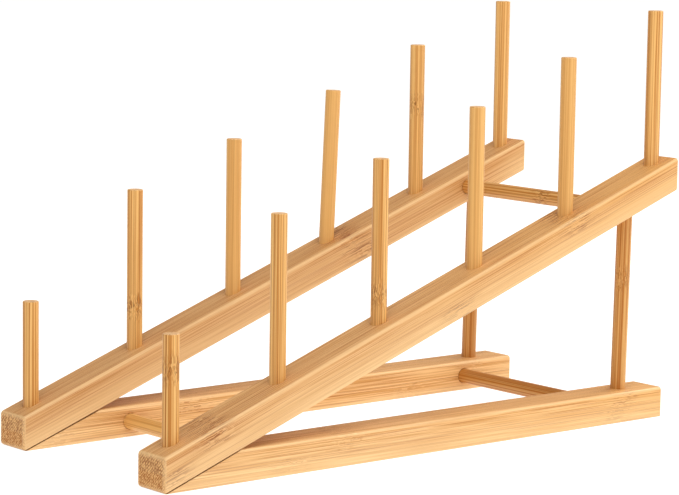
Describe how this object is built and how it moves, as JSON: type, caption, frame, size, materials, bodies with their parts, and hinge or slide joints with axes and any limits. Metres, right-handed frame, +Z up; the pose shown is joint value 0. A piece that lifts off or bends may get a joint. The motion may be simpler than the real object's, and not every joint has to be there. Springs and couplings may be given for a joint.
{
  "type": "dish drying rack",
  "caption": "Bamboo plate and lid drying rack: a wedge-shaped frame of base rails and sloped rails, with a row of upright pegs on each slope, rear posts and round cross bars.",
  "frame": {"origin": "centre of the rack's bounding box on the worktop, halfway between the left and right sides", "axes": "+X from the low front end to the high rear end, +Y to the left side seen from the front end, +Z up"},
  "size_m": [0.333, 0.14, 0.2153],
  "materials": {
    "bamboo_rail": "laminated bamboo, sanded and clear-coated to a satin sheen",
    "bamboo_dowel": "turned bamboo dowel, sanded and clear-coated to a satin sheen",
    "zinc_plated_steel": "bright zinc plating"
  },
  "bodies": {
    "root": {"base_rail_left": "bamboo_rail", "base_rail_right": "bamboo_rail", "sloped_rail_left": "bamboo_rail", "sloped_rail_right": "bamboo_rail", "peg_left_1": "bamboo_dowel", "peg_left_2": "bamboo_dowel", "peg_left_3": "bamboo_dowel", "peg_left_4": "bamboo_dowel", "peg_left_5": "bamboo_dowel", "peg_left_6": "bamboo_dowel", "peg_right_1": "bamboo_dowel", "peg_right_2": "bamboo_dowel", "peg_right_3": "bamboo_dowel", "peg_right_4": "bamboo_dowel", "peg_right_5": "bamboo_dowel", "peg_right_6": "bamboo_dowel", "rear_post_left": "bamboo_dowel", "rear_post_right": "bamboo_dowel", "front_cross_bar": "bamboo_dowel", "rear_lower_cross_bar": "bamboo_dowel", "rear_upper_cross_bar": "bamboo_dowel", "mitre_screw_left": "zinc_plated_steel", "mitre_screw_right": "zinc_plated_steel"}
  },
  "joints": []
}
